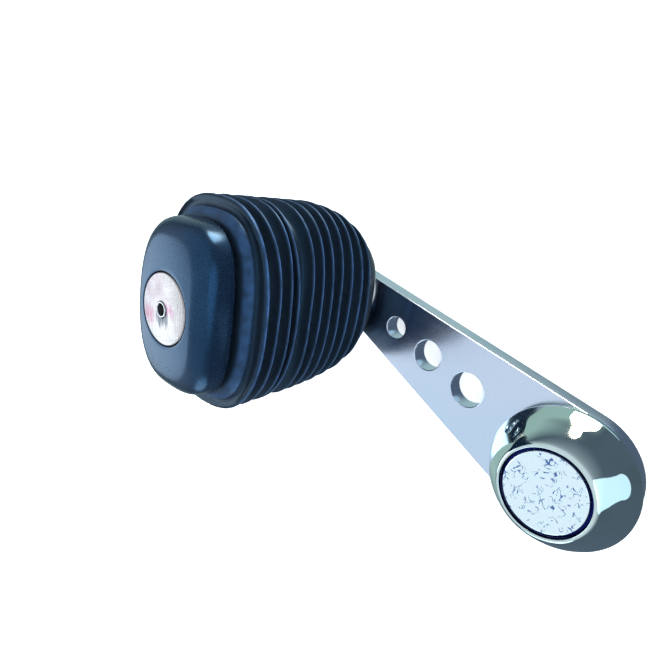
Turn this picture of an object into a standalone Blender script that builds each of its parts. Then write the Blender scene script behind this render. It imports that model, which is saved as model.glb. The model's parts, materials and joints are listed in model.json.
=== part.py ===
"""Power handle of a baitcasting fishing reel: a tapered crank arm with a ball-bearing knob.

Origin: on the axis of the drive hole, at the back face of the arm.
+Z runs out of the reel, towards the knob. +X runs along the arm, from the drive hole to the knob.
Drawing dimensions are in millimetres and become metres through MM.
"""

from math import atan2, cos, pi, radians, sin, sqrt

import bmesh
import bpy
from mathutils import Matrix

MM = 0.001
GAP = 0.3  # between pieces that touch face to face
SLIP = 0.1  # radial clearance of a turned piece in its bore
SEGMENTS = 28  # sides of the small turned pieces

# Crank arm
CRANK_LENGTH = 64.1  # drive axis to knob axis
ARM_THICKNESS = 4.3
ARM_HUB_RADIUS = 13.55
ARM_TIP_RADIUS = 5.83
ARM_EDGE = 0.25
LIGHTENING_HOLES = ((25.1, 3.9), (36.9, 3.45), (47.2, 2.55))  # distance from the hub, radius
DRIVE_HOLE_RADIUS = 4.0
DRIVE_HOLE_FLATS = 5.6

# Hub fastening, from the arm's face outwards
NUT_FLATS = 10.0
NUT_HEIGHT = 4.0
NUT_BORE = 3.5
SPRING_WASHER = (4.3, 6.4, 0.8)  # inner radius, outer radius, thickness
LOCK_PLATE_BLANK = 5.0  # radius of the plate's bore before the hexagon is cut
LOCK_PLATE_RADIUS = 12.0
LOCK_PLATE_THICKNESS = 0.8
LOCK_PLATE_FOOT = (10.4, 11.2)  # inner and outer radius of the rim that it stands on
LOCK_SCREW_AT = -8.4
LOCK_SCREW_RADIUS = 1.1
LOCK_SCREW_HEAD = 1.9
LOCK_SCREW_HEAD_HEIGHT = 1.1
LOCK_SCREW_TIP = 1.6
LOCK_SCREW_HOLE_BOTTOM = 1.2
COVER_RADIUS = 14.35
COVER_HEIGHT = 10.3
COVER_WALL = 1.0
COVER_MOUTH = 8.6
COVER_LIP = 0.55  # from the mouth to the flank
COVER_FLANK = (  # radius, height over the foot
    (14.35, 2.1),
    (13.4, 4.0),
    (12.1, 6.0),
    (10.75, 8.0),
    (9.7, 9.4),
)
COVER_FOOT_INSIDE = 11.6
COVER_CROWN_INSIDE = ((11.2, 4.6), (9.6, 2.9), (8.0, 2.3), (0, 2.3))  # radius, depth under the top
RECESS_DEPTH = 1.3
INLAY_RADIUS = 7.95
INLAY_THICKNESS = 0.9

# Knob. Heights are above the back face of the arm. A section is a superellipse with a long and a short half
# and a power, which is 2 for an ellipse and higher for a squarer shape.
KNOB_TURN = -69.3  # degrees from +X to the knob's long axis
GRIP_SECTIONS = (  # height, long half, short half, power
    (46.2, 21.0, 16.5, 2.4),
    (38.0, 20.9, 15.25, 2.5),
    (30.0, 20.75, 14.2, 2.65),
    (22.0, 20.6, 13.4, 2.5),
    (15.0, 18.75, 13.6, 2.5),
    (10.5, 15.0, 12.5, 2.6),
)
FIN_TOP = 46.2
FIN_PITCH = 3.28
FIN_COUNT = 11
FIN_CREST = 0.8
FIN_DEPTH = 2.3
GROOVE_WIDTH = 0.9
LIP_POWER = 2.8
SLEEVE_BOTTOM = 6.7
SLEEVE_TOP = 48.6
CORE_LONG = 10.5
CORE_SHORT = 7.6
CORE_POWER = 3.0
CORE_BOTTOM = 5.7
CORE_TOP = 49.2
CORE_RIM_LONG = 15.2
CORE_RIM_SHORT = 9.8
CORE_POCKET_TOP = 46.6  # of the upper bearing's pocket
CORE_WEB_RADIUS = 4.2  # of the bore between the bearings
SPIGOT_RADIUS = 6.4
SPIGOT_BORE = 4.7
SPIGOT_BOTTOM = 46.9
CAP_BOTTOM = 49.5
CAP_LONG = 16.46
CAP_SHORT = 11.11
CAP_DRAFT = 0.24  # added to both halves at the cap's foot
CAP_EDGE = 3.32  # radius of the rounded edge
CAP_POWER = 3.07
CAP_CROWN_RADIUS = 79.0
DISC_RIM = 56.66
DISC_CROWN = 0.55
DISC_RADIUS = 6.75
DISC_SEAT = 54.5
OIL_PORT_RADIUS = 1.15
EYELET_WALL = 0.27

# Knob post and its two ball bearings
POST_RADIUS = 2.4
POST_SHOULDER = 3.25
POST_FLANGE = 4.4
POST_FLANGE_TOP = 6.1
POST_TAIL = 2.9
POST_TAIL_HEAD = 3.9  # staked end, flush with the back of the arm
POST_TAIL_SEAT = 1.2
THRUST_WASHER_RADIUS = 7.4
WASHER_THICKNESS = 0.8
POST_TOP = 45.05
STACK_GAP = 0.15  # between the pieces stacked on the post
BEARING_BORE = 2.5
BEARING_OUTER = 5.0
BEARING_WIDTH = 4.0
BALL_RADIUS = 0.7
BALL_PITCH = 3.75
BALL_COUNT = 7
RACE_GROOVE = 0.8
INNER_SHOULDER = 3.35
OUTER_SHOULDER = 4.15
SPACER_RADIUS = 3.3
LOWER_BEARING = 7.0  # height of the bearing's lower face
UPPER_BEARING = 41.0
SCREW_RADIUS = 1.4
SCREW_HOLE_DEPTH = 8.5
SCREW_HEAD = 2.6
SCREW_HEAD_HEIGHT = 2.0
SCREW_SOCKET = 1.45  # corner radius of the hexagon

MATERIALS = {
    "arm_aluminium": ((0.62, 0.64, 0.68), 0.32, 1.0),
    "chrome": ((0.86, 0.87, 0.88), 0.06, 1.0),
    "hammered_silver": ((0.84, 0.85, 0.84), 0.3, 1.0),
    "black_rubber": ((0.022, 0.024, 0.028), 0.55, 0.0),
    "black_plastic": ((0.02, 0.022, 0.026), 0.34, 0.0),
    "turned_aluminium": ((0.8, 0.79, 0.78), 0.26, 1.0),
    "bright_steel": ((0.66, 0.66, 0.67), 0.22, 1.0),
    "bearing_steel": ((0.58, 0.59, 0.6), 0.15, 1.0),
    "brass": ((0.78, 0.6, 0.28), 0.3, 1.0),
    "nylon": ((0.82, 0.8, 0.74), 0.5, 0.0),
}


# ---------------------------------------------------------------- scene and materials


def clear_scene():
    for obj in list(bpy.data.objects):
        bpy.data.objects.remove(obj, do_unlink=True)


def new_collection(name):
    collection = bpy.data.collections.new(name)
    bpy.context.scene.collection.children.link(collection)
    return collection


def material(name):
    made = bpy.data.materials.get(name)
    if made is None:
        color, roughness, metallic = MATERIALS[name]
        made = bpy.data.materials.new(name)
        made.use_nodes = True
        shader = made.node_tree.nodes["Principled BSDF"]
        shader.inputs["Base Color"].default_value = (*color, 1.0)
        shader.inputs["Roughness"].default_value = roughness
        shader.inputs["Metallic"].default_value = metallic
        made.diffuse_color = (*color, 1.0)
    return made


def add_object(name, mesh, finish, parent=None):
    obj = bpy.data.objects.new(name, mesh)
    mesh.materials.append(material(finish))
    PARTS.objects.link(obj)
    obj.parent = parent
    return obj


def add_empty(name, x, z=0.0, turn=0.0):
    empty = bpy.data.objects.new(name, None)
    empty.location = (x * MM, 0, z * MM)
    empty.rotation_euler.z = radians(turn)
    empty.empty_display_size = 8 * MM
    PARTS.objects.link(empty)
    return empty


def shade(mesh, angle=35):
    mesh.shade_smooth()
    mesh.set_sharp_from_angle(angle=radians(angle))


# ---------------------------------------------------------------- shape helpers


def mesh_from(name, build):
    """A mesh filled by build(bmesh)."""
    mesh = bpy.data.meshes.new(name)
    work = bmesh.new()
    build(work)
    work.to_mesh(mesh)
    work.free()
    return mesh


def turned(name, profile, finish, parent=None, segments=SEGMENTS):
    """A body of revolution. Its profile is closed unless it starts and ends on the axis."""
    closed = profile[0][0] > 0

    def build(work):
        verts = [work.verts.new((r * MM, 0, z * MM)) for r, z in profile]
        for start, end in zip(verts, verts[1:]):
            work.edges.new((start, end))
        if closed:
            work.edges.new((verts[-1], verts[0]))

    obj = add_object(name, mesh_from(name, build), finish, parent)
    screw = obj.modifiers.new("Turn", "SCREW")
    screw.steps = segments
    screw.render_steps = segments
    screw.use_merge_vertices = True
    screw.merge_threshold = 1e-6
    screw.use_smooth_shade = True
    return obj


def ring(name, inner, outer, low, high, finish, parent=None):
    """A plain washer or tube."""
    profile = ((inner, high), (outer, high), (outer, low), (inner, low))
    return turned(name, profile, finish, parent)


def section_directions(count, stretch):
    """Angles spread evenly round an ellipse of this aspect, so that unlike sections loft without twist."""
    turns = [2 * pi * i / count for i in range(count)]
    return [atan2(sin(t), stretch * cos(t)) for t in turns]


def section_point(angle, long_half, short_half, power):
    """The point of a superellipse in this direction."""
    reach = abs(cos(angle) / long_half) ** power + abs(sin(angle) / short_half) ** power
    radius = reach ** (-1 / power)
    return radius * cos(angle), radius * sin(angle)


def lofted(name, sections, finish, parent, segments=40, stretch=1.35):
    """A closed skin through rings of (height, long half, short half, power); the last joins the first."""
    directions = section_directions(segments, stretch)

    def build(work):
        rings = []
        for height, long_half, short_half, power in sections:
            points = [section_point(a, long_half, short_half, power) for a in directions]
            rings.append([work.verts.new((x * MM, y * MM, height * MM)) for x, y in points])
        for above, below in zip(rings, rings[1:] + rings[:1]):
            for i in range(segments):
                j = (i + 1) % segments
                work.faces.new((above[i], below[i], below[j], above[j]))

    mesh = mesh_from(name, build)
    shade(mesh)
    return add_object(name, mesh, finish, parent)


def round_section(radius, height):
    return (height, radius, radius, 2.0)


def cutter(name, mesh, parent=None, matrix=None):
    obj = bpy.data.objects.new(name, mesh)
    CUTTERS.objects.link(obj)
    obj.parent = parent
    if matrix is not None:
        obj.matrix_local = matrix
    obj.hide_render = True
    obj.display_type = "WIRE"
    return obj


def prism_mesh(name, radius, low, high, sides, x=0.0, top_radius=None):
    """A closed prism, cylinder or cone along Z, its axis at this x."""

    def build(work):
        bmesh.ops.create_cone(
            work,
            cap_ends=True,
            segments=sides,
            radius1=radius * MM,
            radius2=(radius if top_radius is None else top_radius) * MM,
            depth=(high - low) * MM,
            matrix=Matrix.Translation((x * MM, 0, (low + high) / 2 * MM)),
        )

    return mesh_from(name, build)


def box_mesh(name, x, y, z):
    def build(work):
        bmesh.ops.create_cube(work, size=1, matrix=Matrix.Diagonal((x * MM, y * MM, z * MM, 1)))

    return mesh_from(name, build)


def cut(obj, tool, operation="DIFFERENCE"):
    modifier = obj.modifiers.new(tool.name, "BOOLEAN")
    modifier.operation = operation
    modifier.solver = "EXACT"
    modifier.object = tool


# ---------------------------------------------------------------- crank arm


def arc(center, radius, start, end, steps):
    """Points on an arc about (center, 0), angles in degrees."""
    angles = [radians(start + (end - start) * i / steps) for i in range(steps + 1)]
    return [(center + radius * cos(a), radius * sin(a)) for a in angles]


def degrees_of(sine):
    return atan2(sine, sqrt(1 - sine * sine)) * 180 / pi


def arm_outline():
    """Two round ends joined by their outer tangents."""
    lean = 90 - degrees_of((ARM_HUB_RADIUS - ARM_TIP_RADIUS) / CRANK_LENGTH)
    hub = arc(0, ARM_HUB_RADIUS, lean, 360 - lean, 36)
    tip = arc(CRANK_LENGTH, ARM_TIP_RADIUS, -lean, lean, 20)
    return hub + tip


def mesh_of_curve(name, curve_object):
    """The curve as a welded mesh; the curve itself is removed."""
    graph = bpy.context.evaluated_depsgraph_get()
    mesh = bpy.data.meshes.new_from_object(curve_object.evaluated_get(graph))
    mesh.name = name
    work = bmesh.new()
    work.from_mesh(mesh)
    bmesh.ops.remove_doubles(work, verts=work.verts, dist=1e-6)
    work.to_mesh(mesh)
    work.free()
    bpy.data.objects.remove(curve_object, do_unlink=True)
    return mesh


def make_crank_arm():
    curve = bpy.data.curves.new("arm_outline", "CURVE")
    curve.dimensions = "2D"
    curve.fill_mode = "BOTH"
    curve.extrude = ARM_THICKNESS / 2 * MM
    outline = arm_outline()
    spline = curve.splines.new("POLY")
    spline.points.add(len(outline) - 1)
    for point, (x, y) in zip(spline.points, outline):
        point.co = (x * MM, y * MM, 0, 1)
    spline.use_cyclic_u = True
    guide = bpy.data.objects.new("arm_outline", curve)
    PARTS.objects.link(guide)
    mesh = mesh_of_curve("crank_arm", guide)
    mesh.transform(Matrix.Translation((0, 0, ARM_THICKNESS / 2 * MM)))
    mesh.materials.clear()
    arm = add_object("crank_arm", mesh, "arm_aluminium")

    bevel = arm.modifiers.new("Edge", "BEVEL")
    bevel.width = ARM_EDGE * MM
    bevel.segments = 1
    bevel.limit_method = "ANGLE"
    bevel.angle_limit = radians(60)

    for number, (x, radius) in enumerate(LIGHTENING_HOLES, 1):
        name = f"lightening_hole_{number}"
        cut(arm, cutter(name, prism_mesh(name, radius, -1, ARM_THICKNESS + 1, 32, x=x)))
    drive = cutter("drive_hole", prism_mesh("drive_hole", DRIVE_HOLE_RADIUS, -1, ARM_THICKNESS + 1, 32))
    between = box_mesh("drive_hole_flats", 3 * DRIVE_HOLE_RADIUS, DRIVE_HOLE_FLATS, 3 * ARM_THICKNESS)
    flats = cutter("drive_hole_flats", between)
    cut(drive, flats, "INTERSECT")
    cut(arm, drive)
    post = prism_mesh("post_hole", POST_TAIL + SLIP, -1, ARM_THICKNESS + 1, SEGMENTS, x=CRANK_LENGTH)
    cut(arm, cutter("post_hole", post))
    head = POST_TAIL_HEAD + 0.7
    sink = prism_mesh("post_countersink", head, -0.4, 1.6, SEGMENTS, x=CRANK_LENGTH, top_radius=POST_TAIL)
    cut(arm, cutter("post_countersink", sink))
    screw_hole = LOCK_SCREW_RADIUS + SLIP
    low, high = LOCK_SCREW_HOLE_BOTTOM, ARM_THICKNESS + 1
    tapped = prism_mesh("lock_screw_hole", screw_hole, low, high, 16, x=LOCK_SCREW_AT)
    cut(arm, cutter("lock_screw_hole", tapped))
    return arm


# ---------------------------------------------------------------- hub


def make_hub():
    inner, outer, thick = SPRING_WASHER
    washer_low = ARM_THICKNESS + GAP
    ring("spring_washer", inner, outer, washer_low, washer_low + thick, "bright_steel")

    nut_low = washer_low + thick + GAP
    nut_high = nut_low + NUT_HEIGHT
    nut_corner = NUT_FLATS / sqrt(3)
    hexagon = prism_mesh("handle_nut", nut_corner, nut_low, nut_high, 6)
    nut = add_object("handle_nut", hexagon, "bright_steel")
    cut(nut, cutter("nut_bore", prism_mesh("nut_bore", NUT_BORE, nut_low - 1, nut_high + 1, 24)))

    plate_high = nut_low + LOCK_PLATE_THICKNESS
    foot_inner, foot_outer = LOCK_PLATE_FOOT
    plate_profile = (
        (LOCK_PLATE_BLANK, plate_high),
        (LOCK_PLATE_RADIUS, plate_high),
        (LOCK_PLATE_RADIUS, nut_low),
        (foot_outer, nut_low),
        (foot_outer, washer_low),
        (foot_inner, washer_low),
        (foot_inner, nut_low),
        (LOCK_PLATE_BLANK, nut_low),
    )
    plate = turned("nut_lock_plate", plate_profile, "bright_steel", segments=32)
    opening = prism_mesh("lock_plate_hexagon", nut_corner + GAP, nut_low - 1, plate_high + 1, 6)
    cut(plate, cutter("lock_plate_hexagon", opening))
    screw_hole = LOCK_SCREW_RADIUS + SLIP
    eye = prism_mesh("lock_plate_eye", screw_hole, nut_low - 1, plate_high + 1, 16, x=LOCK_SCREW_AT)
    cut(plate, cutter("lock_plate_eye", eye))

    screw_seat = plate_high + GAP
    screw_top = screw_seat + LOCK_SCREW_HEAD_HEIGHT
    screw_axis = add_empty("lock_screw_axis", LOCK_SCREW_AT)
    screw_profile = (
        (0, screw_top),
        (LOCK_SCREW_HEAD - 0.3, screw_top),
        (LOCK_SCREW_HEAD, screw_top - 0.3),
        (LOCK_SCREW_HEAD, screw_seat),
        (LOCK_SCREW_RADIUS, screw_seat),
        (LOCK_SCREW_RADIUS, LOCK_SCREW_TIP),
        (0, LOCK_SCREW_TIP),
    )
    screw = turned("lock_plate_screw", screw_profile, "bright_steel", screw_axis, segments=16)
    slot = cutter("lock_screw_slot", box_mesh("lock_screw_slot", 5, 0.5, 1.0), screw_axis)
    slot.location.z = screw_top * MM
    cut(screw, slot)

    make_hub_cover()


def make_hub_cover():
    """A tapered shell that clips under the lock plate, with a recess in its crown for the inlay."""
    low = ARM_THICKNESS + GAP
    top = ARM_THICKNESS + COVER_HEIGHT
    outside = [(COVER_MOUTH + COVER_LIP, top)]
    outside += [(radius, low + height) for radius, height in reversed(COVER_FLANK)]
    outside += [(COVER_RADIUS - 0.15, low + 0.8), (COVER_RADIUS - 0.75, low)]
    inside = [
        (COVER_FOOT_INSIDE, low),
        (COVER_FOOT_INSIDE, low + 0.6),
        (COVER_RADIUS - COVER_WALL - 0.5, low + 0.9),
        (COVER_RADIUS - COVER_WALL - 0.2, low + 2.5),
    ]
    inside += [(radius, top - depth) for radius, depth in COVER_CROWN_INSIDE]
    recess = [(0, top - RECESS_DEPTH), (COVER_MOUTH, top - RECESS_DEPTH), (COVER_MOUTH, top - 0.2)]
    turned("hub_cover", recess + outside + inside, "chrome", segments=40)
    inlay_top = top - 0.1
    inlay_low = inlay_top - INLAY_THICKNESS
    inlay = [(0, inlay_top), (INLAY_RADIUS - 0.25, inlay_top), (INLAY_RADIUS, inlay_top - 0.25)]
    inlay += [(INLAY_RADIUS, inlay_low), (0, inlay_low)]
    turned("hub_inlay_disc", inlay, "hammered_silver", segments=40)


# ---------------------------------------------------------------- knob post and bearings


def make_post(axis):
    flange_low = ARM_THICKNESS + GAP
    post = (
        (0, POST_TOP - SCREW_HOLE_DEPTH),
        (SCREW_RADIUS + SLIP, POST_TOP - SCREW_HOLE_DEPTH),
        (SCREW_RADIUS + SLIP, POST_TOP),
        (POST_RADIUS, POST_TOP),
        (POST_RADIUS, LOWER_BEARING - STACK_GAP),
        (POST_SHOULDER, LOWER_BEARING - STACK_GAP),
        (POST_SHOULDER, POST_FLANGE_TOP),
        (POST_FLANGE, POST_FLANGE_TOP),
        (POST_FLANGE, flange_low),
        (POST_TAIL, flange_low),
        (POST_TAIL, POST_TAIL_SEAT),
        (POST_TAIL_HEAD, 0.1),
        (0, 0.1),
    )
    turned("knob_post", post, "bright_steel", axis)
    washer_high = flange_low + WASHER_THICKNESS
    ring("thrust_washer", POST_FLANGE + GAP, THRUST_WASHER_RADIUS, flange_low, washer_high, "nylon", axis)
    spacer_low = LOWER_BEARING + BEARING_WIDTH + STACK_GAP
    spacer_high = UPPER_BEARING - STACK_GAP
    ring("bearing_spacer", BEARING_BORE, SPACER_RADIUS, spacer_low, spacer_high, "brass", axis)

    washer_low = UPPER_BEARING + BEARING_WIDTH + STACK_GAP
    washer_high = washer_low + WASHER_THICKNESS
    eye = SCREW_RADIUS + SLIP
    ring("retaining_washer", eye, POST_SHOULDER, washer_low, washer_high, "bright_steel", axis)
    seat = washer_high + STACK_GAP
    head = seat + SCREW_HEAD_HEIGHT
    screw = (
        (0, head),
        (SCREW_HEAD - 0.3, head),
        (SCREW_HEAD, head - 0.3),
        (SCREW_HEAD, seat),
        (SCREW_RADIUS, seat),
        (SCREW_RADIUS, POST_TOP - SCREW_HOLE_DEPTH + 1),
        (0, POST_TOP - SCREW_HOLE_DEPTH + 1),
    )
    body = turned("post_screw", screw, "bright_steel", axis, segments=20)
    socket = prism_mesh("post_screw_socket", SCREW_SOCKET, seat + 0.7, head + 1, 6)
    cut(body, cutter("post_screw_socket", socket, axis))


def groove_points(direction, middle):
    """The raceway, an arc about the ball's centre: direction -1 on the inner race, +1 on the outer."""
    shoulder = BALL_PITCH - INNER_SHOULDER if direction < 0 else OUTER_SHOULDER - BALL_PITCH
    half = atan2(sqrt(RACE_GROOVE**2 - shoulder**2), shoulder)
    angles = [half * k / 3 for k in (3, 1, -1, -3)]
    return [(BALL_PITCH + direction * RACE_GROOVE * cos(a), middle + RACE_GROOVE * sin(a)) for a in angles]


def make_bearing(name, low, post_axis, knob_axis, cage_axis):
    """An open deep-groove ball bearing: its cage and balls turn at their own speed."""
    high = low + BEARING_WIDTH
    middle = low + BEARING_WIDTH / 2
    inner = [(BEARING_BORE, high), (INNER_SHOULDER, high)]
    inner += groove_points(-1, middle)
    inner += [(INNER_SHOULDER, low), (BEARING_BORE, low)]
    turned(f"{name}_inner_race", inner, "bearing_steel", post_axis)
    outer = [(BEARING_OUTER, high), (BEARING_OUTER, low), (OUTER_SHOULDER, low)]
    outer += reversed(groove_points(1, middle))
    outer += [(OUTER_SHOULDER, high)]
    turned(f"{name}_outer_race", outer, "bearing_steel", knob_axis)

    cage_inner = INNER_SHOULDER + SLIP
    cage_outer = OUTER_SHOULDER - SLIP
    cage = ring(f"{name}_cage", cage_inner, cage_outer, middle - 1.25, middle + 1.25, "brass", cage_axis)
    ball_mesh = mesh_from(
        f"{name}_ball",
        lambda work: bmesh.ops.create_icosphere(work, subdivisions=2, radius=BALL_RADIUS * MM),
    )
    ball_mesh.materials.append(material("bearing_steel"))
    ball_mesh.shade_smooth()
    pocket_mesh = prism_mesh(f"{name}_pocket", BALL_RADIUS + SLIP, -1.2, 1.2, 12)
    for number in range(BALL_COUNT):
        turn = Matrix.Rotation(2 * pi * number / BALL_COUNT, 4, "Z")
        place = turn @ Matrix.Translation((BALL_PITCH * MM, 0, middle * MM))
        ball = bpy.data.objects.new(f"{name}_ball_{number + 1}", ball_mesh)
        PARTS.objects.link(ball)
        ball.parent = cage_axis
        ball.matrix_local = place
        outward = place @ Matrix.Rotation(pi / 2, 4, "Y")
        cut(cage, cutter(f"{name}_pocket_{number + 1}", pocket_mesh, cage_axis, outward))


# ---------------------------------------------------------------- knob


def grip_section(height, inset=0.0):
    """The sleeve's outer section at this height, on straight lines between the rows of GRIP_SECTIONS."""
    for above, below in zip(GRIP_SECTIONS, GRIP_SECTIONS[1:]):
        if height >= below[0]:
            break
    share = min(1.0, (height - below[0]) / (above[0] - below[0]))
    long_half, short_half, power = (b + (a - b) * share for a, b in zip(above[1:], below[1:]))
    return (height, long_half - inset, short_half - inset, power)


def make_grip_sleeve(axis):
    """The rubber sleeve: a rounded lip, a broad flange and thin fins that follow the knob's taper."""
    inner_long = CORE_LONG + 2 * SLIP
    inner_short = CORE_SHORT + 2 * SLIP
    sections = [
        (SLEEVE_TOP, inner_long, inner_short, CORE_POWER),
        (SLEEVE_TOP, 16.6, 11.4, LIP_POWER),
        (SLEEVE_TOP - 0.5, 18.2, 13.0, LIP_POWER),
        (SLEEVE_TOP - 1.3, 18.7, 13.6, LIP_POWER),
    ]
    for number in range(FIN_COUNT):
        fin = FIN_TOP - FIN_PITCH * number
        sections.append(grip_section(fin + FIN_CREST / 2))
        sections.append(grip_section(fin - FIN_CREST / 2))
        if number < FIN_COUNT - 1:
            groove = fin - FIN_PITCH / 2
            sections.append(grip_section(groove + GROOVE_WIDTH / 2, FIN_DEPTH))
            sections.append(grip_section(groove - GROOVE_WIDTH / 2, FIN_DEPTH))
    sections += [
        (10.6, 14.6, 11.6, LIP_POWER),
        (7.5, 12.2, 10.1, CORE_POWER),
        (SLEEVE_BOTTOM, 11.6, 9.5, CORE_POWER),
        (SLEEVE_BOTTOM, inner_long, inner_short, CORE_POWER),
    ]
    lofted("grip_sleeve", sections, "black_rubber", axis, segments=36)


def make_knob_core(axis):
    """The hard core that carries both bearings and the cap."""
    pocket = BEARING_OUTER + SLIP
    web_low = LOWER_BEARING + BEARING_WIDTH + 2 * SLIP
    web_high = UPPER_BEARING - 2 * SLIP
    mouth = SPIGOT_RADIUS + 2 * SLIP
    sections = [
        round_section(mouth, CORE_TOP),
        (CORE_TOP, CORE_RIM_LONG, CORE_RIM_SHORT, LIP_POWER),
        (SLEEVE_TOP + GAP, CORE_RIM_LONG, CORE_RIM_SHORT, LIP_POWER),
        (SLEEVE_TOP + GAP, CORE_LONG, CORE_SHORT, CORE_POWER),
        (CORE_BOTTOM, CORE_LONG, CORE_SHORT, CORE_POWER),
        round_section(pocket, CORE_BOTTOM),
        round_section(pocket, web_low),
        round_section(CORE_WEB_RADIUS, web_low),
        round_section(CORE_WEB_RADIUS, web_high),
        round_section(pocket, web_high),
        round_section(pocket, CORE_POCKET_TOP),
        round_section(mouth, CORE_POCKET_TOP),
    ]
    lofted("knob_core", sections, "black_plastic", axis, segments=40)


def cap_crown(radius):
    """Height of the cap's spherical face this far from the knob's axis."""
    return DISC_RIM + (DISC_RADIUS**2 - radius**2) / (2 * CAP_CROWN_RADIUS)


def cap_reach(half, height):
    """How far the face, and then its rounded edge, reaches along the half axis at this height."""
    flat = half - CAP_EDGE
    drop = cap_crown(flat) - height
    if drop < 0:
        return sqrt(DISC_RADIUS**2 + 2 * CAP_CROWN_RADIUS * (DISC_RIM - height))
    return flat + sqrt(CAP_EDGE**2 - (CAP_EDGE - min(drop, CAP_EDGE)) ** 2)


def make_end_cap(axis):
    """The crowned cap, with a seat for the disc and a spigot that plugs into the core."""
    seat = DISC_RADIUS + GAP
    sections = [round_section(seat, DISC_RIM)]
    for height, power in ((56.3, 2.3), (55.8, 2.7), (55.0, 2.9), (54.0, CAP_POWER), (52.6, CAP_POWER)):
        sections.append((height, cap_reach(CAP_LONG, height), cap_reach(CAP_SHORT, height), power))
    sections += [
        (CAP_BOTTOM + 0.5, CAP_LONG + CAP_DRAFT, CAP_SHORT + CAP_DRAFT, CAP_POWER),
        (CAP_BOTTOM, CAP_LONG - GAP, CAP_SHORT - GAP, CAP_POWER),
        round_section(SPIGOT_RADIUS, CAP_BOTTOM),
        round_section(SPIGOT_RADIUS, SPIGOT_BOTTOM),
        round_section(SPIGOT_BORE, SPIGOT_BOTTOM),
        round_section(SPIGOT_BORE, DISC_SEAT),
        round_section(seat, DISC_SEAT),
    ]
    lofted("end_cap", sections, "black_plastic", axis, segments=48)


def make_end_disc(axis):
    """The crowned aluminium disc and the eyelet of its oil port."""
    eyelet = OIL_PORT_RADIUS + EYELET_WALL
    hole = eyelet + SLIP
    profile = [(hole, DISC_RIM + DISC_CROWN)]
    for radius in (3.5, 5.5):
        profile.append((radius, DISC_RIM + DISC_CROWN * (1 - (radius / DISC_RADIUS) ** 2)))
    profile += [(DISC_RADIUS - 0.15, DISC_RIM), (DISC_RADIUS, DISC_RIM - 0.15)]
    profile += [(DISC_RADIUS, DISC_SEAT + GAP), (hole, DISC_SEAT + GAP)]
    turned("end_disc", profile, "turned_aluminium", axis, segments=40)
    top = DISC_RIM + DISC_CROWN + 0.1
    ring("oil_eyelet", OIL_PORT_RADIUS, eyelet, DISC_SEAT - 0.6, top, "bright_steel", axis)


def main():
    make_crank_arm()
    make_hub()
    post_axis = add_empty("post_axis", CRANK_LENGTH)
    knob_axis = add_empty("knob_axis", CRANK_LENGTH, turn=KNOB_TURN)
    lower_cage_axis = add_empty("lower_cage_axis", CRANK_LENGTH)
    upper_cage_axis = add_empty("upper_cage_axis", CRANK_LENGTH)
    make_post(post_axis)
    make_bearing("lower_bearing", LOWER_BEARING, post_axis, knob_axis, lower_cage_axis)
    make_bearing("upper_bearing", UPPER_BEARING, post_axis, knob_axis, upper_cage_axis)
    make_knob_core(knob_axis)
    make_grip_sleeve(knob_axis)
    make_end_cap(knob_axis)
    make_end_disc(knob_axis)


clear_scene()
PARTS = new_collection("reel_handle")
CUTTERS = new_collection("cutters")
main()
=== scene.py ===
"""Looks of the reel's power handle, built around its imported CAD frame.

The knob's sleeve, cap and disc, the crank arm, the hub cover and its inlay are fine meshes that stand for
plain CAD nodes. Lengths are in millimetres where a name says so, and become metres through MM.
"""

import json
from math import atan2, cos, degrees, exp, hypot, pi, radians, sin, sqrt

import bmesh
import bpy
from mathutils import Matrix, Vector, noise


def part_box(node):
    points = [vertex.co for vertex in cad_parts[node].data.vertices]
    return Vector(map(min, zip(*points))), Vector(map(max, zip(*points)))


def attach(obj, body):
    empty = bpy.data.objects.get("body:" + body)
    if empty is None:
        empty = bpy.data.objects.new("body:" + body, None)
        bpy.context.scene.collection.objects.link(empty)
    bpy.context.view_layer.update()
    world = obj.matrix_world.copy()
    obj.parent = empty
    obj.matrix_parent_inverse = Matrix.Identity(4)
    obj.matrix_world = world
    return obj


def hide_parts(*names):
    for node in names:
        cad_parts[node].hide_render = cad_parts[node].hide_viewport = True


MM = 0.001
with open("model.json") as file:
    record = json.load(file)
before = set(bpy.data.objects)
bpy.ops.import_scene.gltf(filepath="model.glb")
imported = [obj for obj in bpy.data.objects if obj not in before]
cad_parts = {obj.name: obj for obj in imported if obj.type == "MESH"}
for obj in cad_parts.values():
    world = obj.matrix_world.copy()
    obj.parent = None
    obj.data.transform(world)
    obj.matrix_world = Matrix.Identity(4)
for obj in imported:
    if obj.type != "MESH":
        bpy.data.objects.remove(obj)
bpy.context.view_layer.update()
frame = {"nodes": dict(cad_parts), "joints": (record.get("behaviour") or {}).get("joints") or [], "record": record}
NODES = frame["nodes"]

# ---------------------------------------------------------------- places, read from the frame

JOINTS = {joint["name"]: joint for joint in frame["joints"]}
KNOB_AXIS = Vector(JOINTS["knob_spin"]["pos_m"])
CRANK_LENGTH = KNOB_AXIS.x / MM
ARM_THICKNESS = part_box("crank_arm")[1].z / MM
ARM_HUB_RADIUS = -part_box("crank_arm")[0].x / MM
ARM_TIP_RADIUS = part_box("crank_arm")[1].x / MM - CRANK_LENGTH
COVER_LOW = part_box("hub_cover")[0].z / MM
COVER_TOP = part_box("hub_cover")[1].z / MM
COVER_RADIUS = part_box("hub_cover")[1].x / MM
INLAY_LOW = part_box("hub_inlay_disc")[0].z / MM
INLAY_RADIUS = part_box("hub_inlay_disc")[1].x / MM
SLEEVE_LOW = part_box("grip_sleeve")[0].z / MM
SLEEVE_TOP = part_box("grip_sleeve")[1].z / MM
SPIGOT_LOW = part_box("end_cap")[0].z / MM
DISC_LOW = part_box("end_disc")[0].z / MM
EYELET_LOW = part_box("oil_eyelet")[0].z / MM
EYELET_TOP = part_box("oil_eyelet")[1].z / MM

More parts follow.
